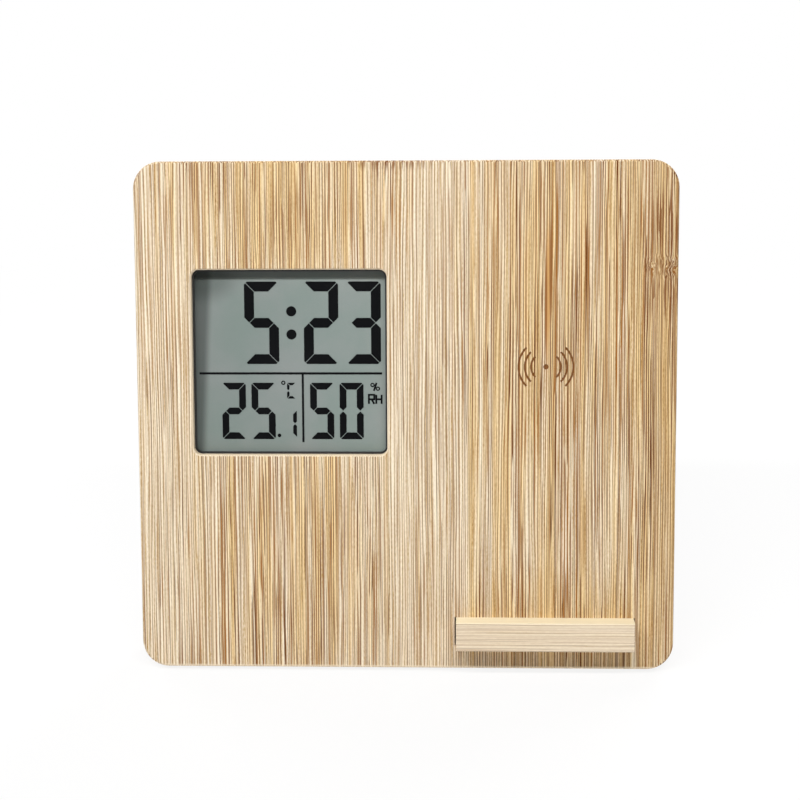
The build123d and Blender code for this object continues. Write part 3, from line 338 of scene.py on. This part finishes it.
# One amber line with dark edges runs down to the charging mark; the right side has painted shade.
amber_line = smudge(tree, spot, 0.0420, 0.1136, 0.0009, 0.027)
amber_left = smudge(tree, spot, 0.0414, 0.1098, 0.0006, 0.023)
amber_right = smudge(tree, spot, 0.0428, 0.1210, 0.0006, 0.021)
amber_edge = sums(tree, "MAXIMUM", amber_left, amber_right)
# Painted shade that darkens the right side of the face.
painted_shade_right = smudge(tree, spot, 0.088, 0.07, 0.026, 0.2)
colour = coat(tree, figure.outputs["Colour"], amber_line, 0.85, tone(206, 152, 88))
colour = coat(tree, colour, amber_edge, 0.9, tone(140, 88, 38))
colour = coat(tree, colour, stain, 0.9, tone(128, 78, 34))
colour = blend_colours(tree, painted_shade_right, colour, tone(244, 239, 231), "MULTIPLY")

# The broken edge round the window and the board's lower edge have a painted highlight.
window_middle = (-0.0344, 0.09255)
window_half = (0.029, 0.02765)
window_corner = 0.0023
highlight_end, highlight_full = window_corner + 0.00045, window_corner + 0.0002
foot_end, foot_full = 0.0011, 0.0005
painted_edge_highlight = steps(tree, "SUBTRACT", spot, (window_middle[0], 0, window_middle[1]))
painted_edge_highlight = steps(tree, "ABSOLUTE", painted_edge_highlight)
straight = (window_half[0] - window_corner, 1.0, window_half[1] - window_corner)
painted_edge_highlight = steps(tree, "MAXIMUM", steps(tree, "SUBTRACT", painted_edge_highlight, straight), (0, 0, 0))
painted_edge_highlight = fade(tree, steps(tree, "LENGTH", painted_edge_highlight, result="Value"), highlight_end, highlight_full)
sides = put(tree, "ShaderNodeSeparateXYZ", {"Vector": spot}).outputs
painted_edge_highlight = sums(tree, "MAXIMUM", painted_edge_highlight, fade(tree, sides["Z"], foot_end, foot_full))
# Painted highlight along the window's edge and the board's lower edge.
colour = coat(tree, colour, painted_edge_highlight, 0.7, tone(252, 234, 205))

# The burnt grooves of the mark: everything near it that lies a little under the face.
mark_middle = (0.041495, 0.09145)
mark_reach = 0.026
scorch_start, scorch_full = 0.00006, 0.00018
groove_end, groove_floor = 0.001, 0.0008
groove = fade(tree, sides["Y"], scorch_start, scorch_full)
groove = times(tree, groove, fade(tree, sides["Y"], groove_end, groove_floor))
near_mark = smudge(tree, spot, *mark_middle, mark_reach, mark_reach)
groove = times(tree, groove, sums(tree, "GREATER_THAN", near_mark, 0.5))
colour = coat(tree, colour, groove, 0.95, tone(126, 76, 30))
tree.links.new(colour, shader.inputs["Base Color"])
dress("board", board_finish)

# Phone ledge: a bar of the same bamboo with its grain lying across the clock. It is glued into a
# slot in the face, so only its front part shows, and its top has a painted highlight.
ledge_finish, tree, spot, figure, shader = bamboo(
    "ledge bamboo",
    turn=(lean, math.radians(-90), 0),
    shift=(0.31, 0.2, 0.1),
    lines=0.3,
    pale=0.055,
    warm=-0.5,
)
top_highlight_start, top_highlight_full = 0.01548, 0.01572
face_spot = turned_place(tree, (lean, 0, 0), face_place)
height = put(tree, "ShaderNodeSeparateXYZ", {"Vector": face_spot}).outputs["Z"]
# Painted highlight on the ledge's top face.
top_highlight = fade(tree, height, top_highlight_start, top_highlight_full)
colour = coat(tree, figure.outputs["Colour"], top_highlight, 0.75, tone(255, 245, 212))
tree.links.new(colour, shader.inputs["Base Color"])
dress("phone_ledge", ledge_finish)

# Display frame: a black plastic moulding that carries the glass and is screwed to the wood from
# behind. Only its thin lip shows, as a dark line round the display.
mould_inputs = [
    ("Place", "NodeSocketVector", None),
    ("Light", "NodeSocketColor", tone(40, 40, 41)),
    ("Dark", "NodeSocketColor", tone(24, 24, 25)),
    ("Scale", "NodeSocketFloat", 2600.0),
    ("Matt", "NodeSocketFloat", 0.5),
]
mould, given = new_group("moulded grain", mould_inputs, figure_outputs)
flow_scale = 45.0
flow_share, pit_share = 0.7, 0.3
pit_matt = 0.22
pits = cloud(mould, given["Place"], given["Scale"], rough=0.6)
flow = cloud(mould, given["Place"], flow_scale, detail=3.0, rough=0.55)
shade = plus(mould, times(mould, flow, flow_share), times(mould, pits, pit_share))
plastic = blend_colours(mould, fade(mould, shade, 0.32, 0.68), given["Dark"], given["Light"])
rough = plus(mould, given["Matt"], times(mould, centred(mould, pits), pit_matt))
put(mould, "NodeGroupOutput", {"Colour": plastic, "Roughness": rough, "Height": pits})


def moulded(name, light, dark, scale=2600.0, matt=0.5, deep=0.0001, strength=0.25, group=mould):
    """A finish from one group of colour, roughness and height on the piece's own coordinates."""
    made, tree, shader = new_finish(name)
    inputs = {"Place": own_place(tree), "Light": light, "Dark": dark, "Scale": scale, "Matt": matt}
    lay_figure(tree, shader, group, inputs, strength, deep)
    return made


frame_finish = moulded(
    "frame moulding", tone(26, 26, 27), tone(14, 14, 15), scale=3000.0, matt=0.45
)
dress("lcd_frame", frame_finish)

# Front polariser: a satin grey-green film on the front glass, a little uneven in colour. Its top
# and left edge have a painted shade of the deep window, and it is painted lighter to the right.
film_finish = moulded(
    "display film",
    tone(143, 149, 147),
    tone(130, 143, 138),
    scale=5200.0,
    matt=0.42,
    deep=0.00002,
    strength=0.08,
)
tree = film_finish.node_tree
shader = tree.nodes["Principled BSDF"]
shader.inputs["Specular IOR Level"].default_value = 0.1
window_left = window_middle[0] - window_half[0]
window_low = window_middle[1] - window_half[1]
window_top = window_middle[1] + window_half[1]
side_slant = 0.05
side_full, side_end, side_painted_shade = 0.0013, 0.0040, 0.48
top_end, top_full, top_painted_shade = window_top - 0.0032, window_top - 0.0021, 0.5
corner_painted_shade = 0.35
brightest_x = -0.008
spot = turned_place(tree, (lean, 0, 0), face_place)
sides = put(tree, "ShaderNodeSeparateXYZ", {"Vector": spot}).outputs
slant = times(tree, minus(tree, sides["Z"], window_low), side_slant)
inset = minus(tree, minus(tree, sides["X"], window_left), slant)
# Painted shade of the window in the film's colour: darker at the slanting left edge, the top and
# the top left corner, lighter to the right.
shade = fade(tree, inset, side_full, side_end, low=side_painted_shade, high=1.0)
shade = times(tree, shade, fade(tree, sides["Z"], top_end, top_full, low=1.0, high=top_painted_shade))
corner = smudge(tree, spot, window_left + 0.003, window_top - 0.002, 0.014, 0.010)
shade = times(tree, shade, minus(tree, 1.0, times(tree, corner, corner_painted_shade)))
shade = times(tree, shade, fade(tree, sides["X"], window_left, brightest_x, low=0.93, high=1.06))
film_colour = shader.inputs["Base Color"].links[0].from_socket
film_colour = blend_colours(tree, 1.0, film_colour, shade, "MULTIPLY")
tree.links.new(film_colour, shader.inputs["Base Color"])
dress("lcd_polariser", film_finish)

# Dark segments: the display's figures and rules, near black and slightly uneven. In the real
# display they are where the liquid crystal between the glasses is switched dark.
segment_finish = moulded(
    "display ink", tone(15, 16, 18), tone(8, 9, 11), scale=2200.0, deep=0.00002, strength=0.1
)
shader = segment_finish.node_tree.nodes["Principled BSDF"]
shader.inputs["Specular IOR Level"].default_value = 0.05
dress("lcd_segments", segment_finish)

# Display glasses: two thin plates of clear, faintly green glass with the crystal between them,
# cut to size and glued together at their rims.
glass_finish, tree, shader = new_finish("display glass")
shader.inputs["Transmission Weight"].default_value = 1.0
shader.inputs["IOR"].default_value = 1.5
smear_scale = 160.0
smear_tones = [(0.3, tone(226, 238, 231)), (0.7, tone(240, 247, 243))]
smear = cloud(tree, own_place(tree), smear_scale, detail=3.0)
tree.links.new(ramp(tree, smear, smear_tones), shader.inputs["Base Color"])
tree.links.new(fade(tree, smear, 0.3, 0.7, low=0.03, high=0.1), shader.inputs["Roughness"])
dress("lcd_front_glass", glass_finish)
dress("lcd_rear_glass", glass_finish)

# Reflector: a matt silver film stuck to the back of the rear glass. It throws the room's light
# back through the display.
reflector_finish = moulded(
    "silver film",
    tone(190, 194, 190),
    tone(168, 174, 170),
    scale=3600.0,
    matt=0.4,
    deep=0.00003,
    strength=0.1,
)
dress("lcd_reflector", reflector_finish)

# Contact strips: bars of rubber in thin conducting and insulating layers, squeezed between the
# front glass and the clock board.
strip_finish = moulded(
    "layered rubber", tone(206, 128, 128), tone(72, 58, 60), scale=900.0, matt=0.7, strength=0.2
)
dress("contact_strips", strip_finish)

# Circuit boards: glass cloth and resin under green lacquer, with bright tracks showing through.
# The clock board is screwed behind the display, the charger board stands on the rear cover.
track_inputs = [
    ("Place", "NodeSocketVector", None),
    ("Light", "NodeSocketColor", tone(62, 138, 78)),
    ("Dark", "NodeSocketColor", tone(16, 74, 40)),
    ("Scale", "NodeSocketFloat", 260.0),
    ("Matt", "NodeSocketFloat", 0.3),
]
tracks, given = new_group("board tracks", track_inputs, figure_outputs)
track_middle = 0.36
track_end, track_full = 0.06, 0.02
weave_scale = 2400.0
weave_share, weave_matt = 0.18, 0.12
pads = {"Vector": given["Place"], "Scale": given["Scale"], "Randomness": 0.35}
pads = put(tracks, "ShaderNodeTexVoronoi", pads, distance="CHEBYCHEV", feature="F1")
off_track = sums(tracks, "ABSOLUTE", minus(tracks, pads.outputs["Distance"], track_middle))
line = fade(tracks, off_track, track_end, track_full)
weave = cloud(tracks, given["Place"], weave_scale, detail=1.0)
lacquer = blend_colours(tracks, line, given["Dark"], given["Light"])
lacquer = coat(tracks, lacquer, weave, weave_share, tone(120, 160, 110))
rough = plus(tracks, given["Matt"], times(tracks, weave, weave_matt))
put(tracks, "NodeGroupOutput", {"Colour": lacquer, "Roughness": rough, "Height": line})
circuit_finish = moulded(
    "green lacquer",
    tone(58, 132, 76),
    tone(18, 78, 44),
    scale=260.0,
    matt=0.28,
    deep=0.00005,
    strength=0.5,
    group=tracks,
)
dress("clock_board", circuit_finish)
dress("charger_board", circuit_finish)

# Chips: black resin, a poured drop over the clock's bare chip and two moulded square packages
# soldered to the charger board.
resin_finish = moulded("black resin", tone(34, 34, 36), tone(20, 20, 22), scale=1800.0, matt=0.35)
dress("clock_chip", resin_finish)
dress("charger_chips", resin_finish)

# Small plated pieces: the crystal's can, the inlet's folded shell, the cell contacts and bridge,
# all pressed from thin sheet and plated with nickel.
metal_inputs = [
    ("Place", "NodeSocketVector", None),
    ("Light", "NodeSocketColor", tone(214, 212, 206)),
    ("Dark", "NodeSocketColor", tone(150, 148, 143)),
    ("Scale", "NodeSocketFloat", 900.0),
    ("Matt", "NodeSocketFloat", 0.3),
]
rolled, given = new_group("rolled metal", metal_inputs, figure_outputs)
rolling = (0.15, 1.0, 1.0)
tarnish_scale = 140.0
worn_matt = -0.35
drawn = stretch(rolled, given["Place"], rolling)
drawn = cloud(rolled, drawn, given["Scale"], detail=3.0, rough=0.6)
tarnish = cloud(rolled, given["Place"], tarnish_scale, detail=3.0, rough=0.6)
shade = plus(rolled, times(rolled, drawn, 0.5), times(rolled, tarnish, 0.5))
skin = blend_colours(rolled, fade(rolled, shade, 0.3, 0.62), given["Dark"], given["Light"])
rough = plus(rolled, given["Matt"], times(rolled, centred(rolled, shade), worn_matt))
put(rolled, "NodeGroupOutput", {"Colour": skin, "Roughness": rough, "Height": drawn})


def plated(name, light, dark, matt=0.3, scale=900.0):
    """A bare or plated metal with fine lines from rolling and a little tarnish."""
    made = moulded(name, light, dark, scale, matt, deep=0.00003, strength=0.12, group=rolled)
    made.node_tree.nodes["Principled BSDF"].inputs["Metallic"].default_value = 1.0
    return made


nickel_finish = plated("nickel plate", tone(222, 218, 208), tone(164, 160, 152), matt=0.28)
for node in ("quartz_crystal", "inlet_shell", "cell_contacts", "cell_bridge"):
    dress(node, nickel_finish)

# Climate sensor: a small white plastic housing soldered to the clock board. Its one hole takes in
# the room's air, which comes through the vents in the cover.
sensor_finish = moulded("sensor white", tone(232, 231, 226), tone(214, 212, 205), scale=2000.0)
dress("climate_sensor", sensor_finish)

# Switch bodies and the inlet's tongue: plain black plastic, matt from the mould. The switches are
# soldered to the clock board, and the tongue stands in the inlet's shell.
switch_finish = moulded("switch black", tone(46, 46, 47), tone(30, 30, 31), scale=2400.0, matt=0.55)
dress("switch_bodies", switch_finish)
dress("inlet_tongue", switch_finish)

# Plungers, spacers and washers: small turned or moulded pieces of natural nylon. They carry the
# buttons' push to the switches, hold the charger board off the cover, and keep the leg clear of
# its bracket.
nylon_finish = moulded(
    "natural nylon", tone(236, 232, 220), tone(216, 211, 197), scale=1500.0, matt=0.48
)
for node in ("mode_plunger", "set_plunger", "up_plunger", "down_plunger"):
    dress(node, nylon_finish)
dress("board_spacers", nylon_finish)
dress("hinge_washers", nylon_finish)

# Buttons: four grey plastic caps that a finger presses from behind. Each is caught under the cover
# by its flange and rests on a plunger.
button_finish = moulded("button grey", tone(120, 120, 122), tone(98, 98, 100), matt=0.42)
for node in ("mode_button", "set_button", "up_button", "down_button"):
    dress(node, button_finish)

# Charging coil: enamelled copper wire wound flat in one spiral from the inside out, and stuck to
# the ferrite disc behind it.
copper_finish = plated("enamelled copper", tone(206, 124, 74), tone(150, 78, 40), scale=1400.0)
dress("charging_coil", copper_finish)

# Ferrite disc and power inductor: black-grey ferrite, pressed and sintered, matt and slightly
# grainy. The disc lies behind the coil, and the inductor is soldered to the charger board.
ferrite_finish = moulded(
    "ferrite", tone(66, 65, 66), tone(42, 41, 42), scale=1600.0, matt=0.68, strength=0.4
)
dress("ferrite_disc", ferrite_finish)
dress("power_inductor", ferrite_finish)

# Tuning capacitors: a row of fired ceramic blocks, tan and a little mottled, soldered to the
# charger board.
ceramic_finish = moulded("fired ceramic", tone(198, 164, 122), tone(170, 134, 96), scale=1300.0)
dress("tuning_capacitors", ceramic_finish)

# Leads: thin wires in red plastic sleeves, soldered at both ends. They join the cells to the clock
# board and the coil to the charger board.
sleeve_finish = moulded(
    "wire sleeve", tone(172, 42, 38), tone(140, 28, 26), scale=1900.0, matt=0.42
)
dress("cell_leads", sleeve_finish)
dress("coil_leads", sleeve_finish)

# Screws and hinge pin: zinc-plated steel, turned and lightly tarnished. The screws have cross
# recesses, and the pin is riveted over at both ends.
steel_finish = plated("zinc steel", tone(206, 208, 210), tone(142, 145, 149), matt=0.32)
for node in ("display_screws", "charger_screws", "cover_screws", "bracket_screws", "hinge_pin"):
    dress(node, steel_finish)

# Rear cover and battery door: black plastic with the fine sparked grain of the mould. The cover is
# let into the back of the wood and screwed down, and the door closes the tray of the cells.
cover_finish = moulded(
    "cover black",
    tone(50, 50, 52),
    tone(36, 36, 38),
    scale=1500.0,
    matt=0.56,
    deep=0.00025,
    strength=0.5,
)
dress("rear_cover", cover_finish)
dress("battery_door", cover_finish)

# Cells: two small dry cells in printed sleeves, tan with a broad dark part and no lettering. They
# lie head to tail in the cover's tray, between their contacts.
jacket_finish, tree, shader = new_finish("cell sleeve")
wear_scale = 300.0
print_stray = 0.0002
left_end, left_full = 0.0344, 0.0347
right_end, right_full = 0.0540, 0.0537
jacket_tones = [(0.3, tone(30, 38, 56)), (0.7, tone(44, 54, 76))]
spot = own_place(tree)
along = put(tree, "ShaderNodeSeparateXYZ", {"Vector": spot}).outputs["X"]
wear = cloud(tree, spot, wear_scale, detail=3.0)
ring = plus(tree, along, times(tree, wear, print_stray))
dark_part = fade(tree, ring, left_end, left_full)
dark_part = times(tree, dark_part, fade(tree, ring, right_end, right_full))
jacket = ramp(tree, wear, jacket_tones)
jacket = blend_colours(tree, dark_part, tone(176, 148, 92), jacket)
tree.links.new(jacket, shader.inputs["Base Color"])
tree.links.new(fade(tree, wear, 0.3, 0.7, low=0.26, high=0.36), shader.inputs["Roughness"])
dress("cells", jacket_finish)

# Folding leg: a straight bar of bamboo with rounded edges, sawn to the slope of the desk. A brass
# bush is pressed across it, and it turns on the pin through that bush.
leg_slope = math.radians(-20)
leg_finish = bamboo(
    "leg bamboo", turn=(leg_slope, 0, 0), shift=(0.53, 0.37, 0.21), lines=0.8, pale=0.02
)[0]
dress("stand_leg", leg_finish)
brass_finish = plated("turned brass", tone(214, 178, 100), tone(160, 124, 60))
dress("leg_bush", brass_finish)

# Hinge bracket: a black plastic moulding, a plate with two cheeks that carry the leg's pin. It is
# screwed to the back of the clock.
bracket_finish = moulded(
    "bracket black",
    tone(52, 52, 54),
    tone(38, 38, 40),
    scale=1500.0,
    matt=0.52,
    deep=0.0002,
    strength=0.45,
)
dress("hinge_bracket", bracket_finish)

# Rubber feet: thin pads of black rubber, matt and finely pitted, stuck under the board and under
# the end of the leg.
rubber_finish = moulded(
    "pad rubber",
    tone(44, 44, 44),
    tone(30, 30, 30),
    scale=1100.0,
    matt=0.8,
    deep=0.0002,
    strength=0.5,
)
dress("base_feet", rubber_finish)
dress("leg_foot", rubber_finish)

# Studio: a white floor that keeps the clock's shadow, a white room, one long strip lamp above the
# camera that reaches further to the left, and two soft lamps behind the clock for its back.
floor_size = 12.0
floor_grey = 0.88
shadow_near, shadow_far = 0.12, 0.4
near_white = 0.86
white = (1, 1, 1, 1)


def seen_itself(tree):
    """1 on rays that show a thing itself: to the camera, in reflections and through glass."""
    path = put(tree, "ShaderNodeLightPath").outputs
    seen = plus(tree, path["Is Camera Ray"], path["Is Glossy Ray"])
    return sums(tree, "ADD", seen, path["Is Transmission Ray"], clamp=True)


bpy.ops.object.select_all(action="DESELECT")
bpy.ops.mesh.primitive_plane_add(size=floor_size, location=(0, 0, 0))
floor = bpy.context.object
floor.name = "floor"
floor_finish = bpy.data.materials.new("floor white")
floor_finish.use_nodes = True
tree = floor_finish.node_tree
tree.nodes.clear()
seen = seen_itself(tree)
matt_white = {"Color": (floor_grey, floor_grey, floor_grey, 1)}
matt_white = put(tree, "ShaderNodeBsdfDiffuse", matt_white).outputs["BSDF"]
plain_white = {"Color": white, "Strength": 1.0}
plain_white = put(tree, "ShaderNodeEmission", plain_white).outputs["Emission"]
away = steps(tree, "LENGTH", own_place(tree), result="Value")
clear_of_shadow = fade(tree, away, shadow_near, shadow_far, low=near_white, high=1.0)
share = times(tree, seen, clear_of_shadow)
mix = put(tree, "ShaderNodeMixShader", {0: share, 1: matt_white, 2: plain_white})
put(tree, "ShaderNodeOutputMaterial", {"Surface": mix.outputs["Shader"]})
floor.data.materials.append(floor_finish)

room_light = 0.07
room_shown = 0.93
world = bpy.data.worlds.new("white room")
bpy.context.scene.world = world
world.use_nodes = True
tree = world.node_tree
tree.nodes.clear()
level = plus(tree, times(tree, seen_itself(tree), room_shown), room_light)
room = put(tree, "ShaderNodeBackground", {"Color": white, "Strength": level})
put(tree, "ShaderNodeOutputWorld", {"Surface": room.outputs["Background"]})


def lamp(name, place, aim, watts, width, height):
    """A rectangular soft lamp that looks at a point."""
    data = bpy.data.lights.new(name, "AREA")
    data.shape = "RECTANGLE"
    data.size = width
    data.size_y = height
    data.energy = watts
    made = bpy.data.objects.new(name, data)
    bpy.context.scene.collection.objects.link(made)
    made.location = place
    made.rotation_euler = (Vector(aim) - Vector(place)).to_track_quat("-Z", "Y").to_euler()


clock_middle = (0, 0.02, 0.08)
lamp("key lamp", (-0.25, -0.47, 0.82), (-0.25, -0.03, 0.075), watts=10.8, width=1.5, height=0.06)
lamp("back lamp", (0.5, 0.75, 0.55), clock_middle, watts=7.5, width=0.7, height=0.5)
lamp("back side lamp", (-0.65, 0.6, 0.4), clock_middle, watts=3.5, width=0.5, height=0.5)

# Camera: in front of the clock, a little above it and to its right, with a long lens. Its place
# and its three directions were fitted to the corners of the board.
camera_data = bpy.data.cameras.new("camera")
camera_data.lens = 83.25
camera_data.sensor_width = 36.0
camera = bpy.data.objects.new("camera", camera_data)
bpy.context.scene.collection.objects.link(camera)
right = (0.999076, 0.040089, -0.015513)
up = (-0.000854, 0.379323, 0.925264)
back = (0.042977, -0.924396, 0.379006)
stand = (0.02197, -0.54043, 0.28802)
camera.matrix_world = Matrix([*zip(right, up, back, stand), (0, 0, 0, 1)])
bpy.context.scene.camera = camera
bpy.context.scene.view_settings.view_transform = "Standard"
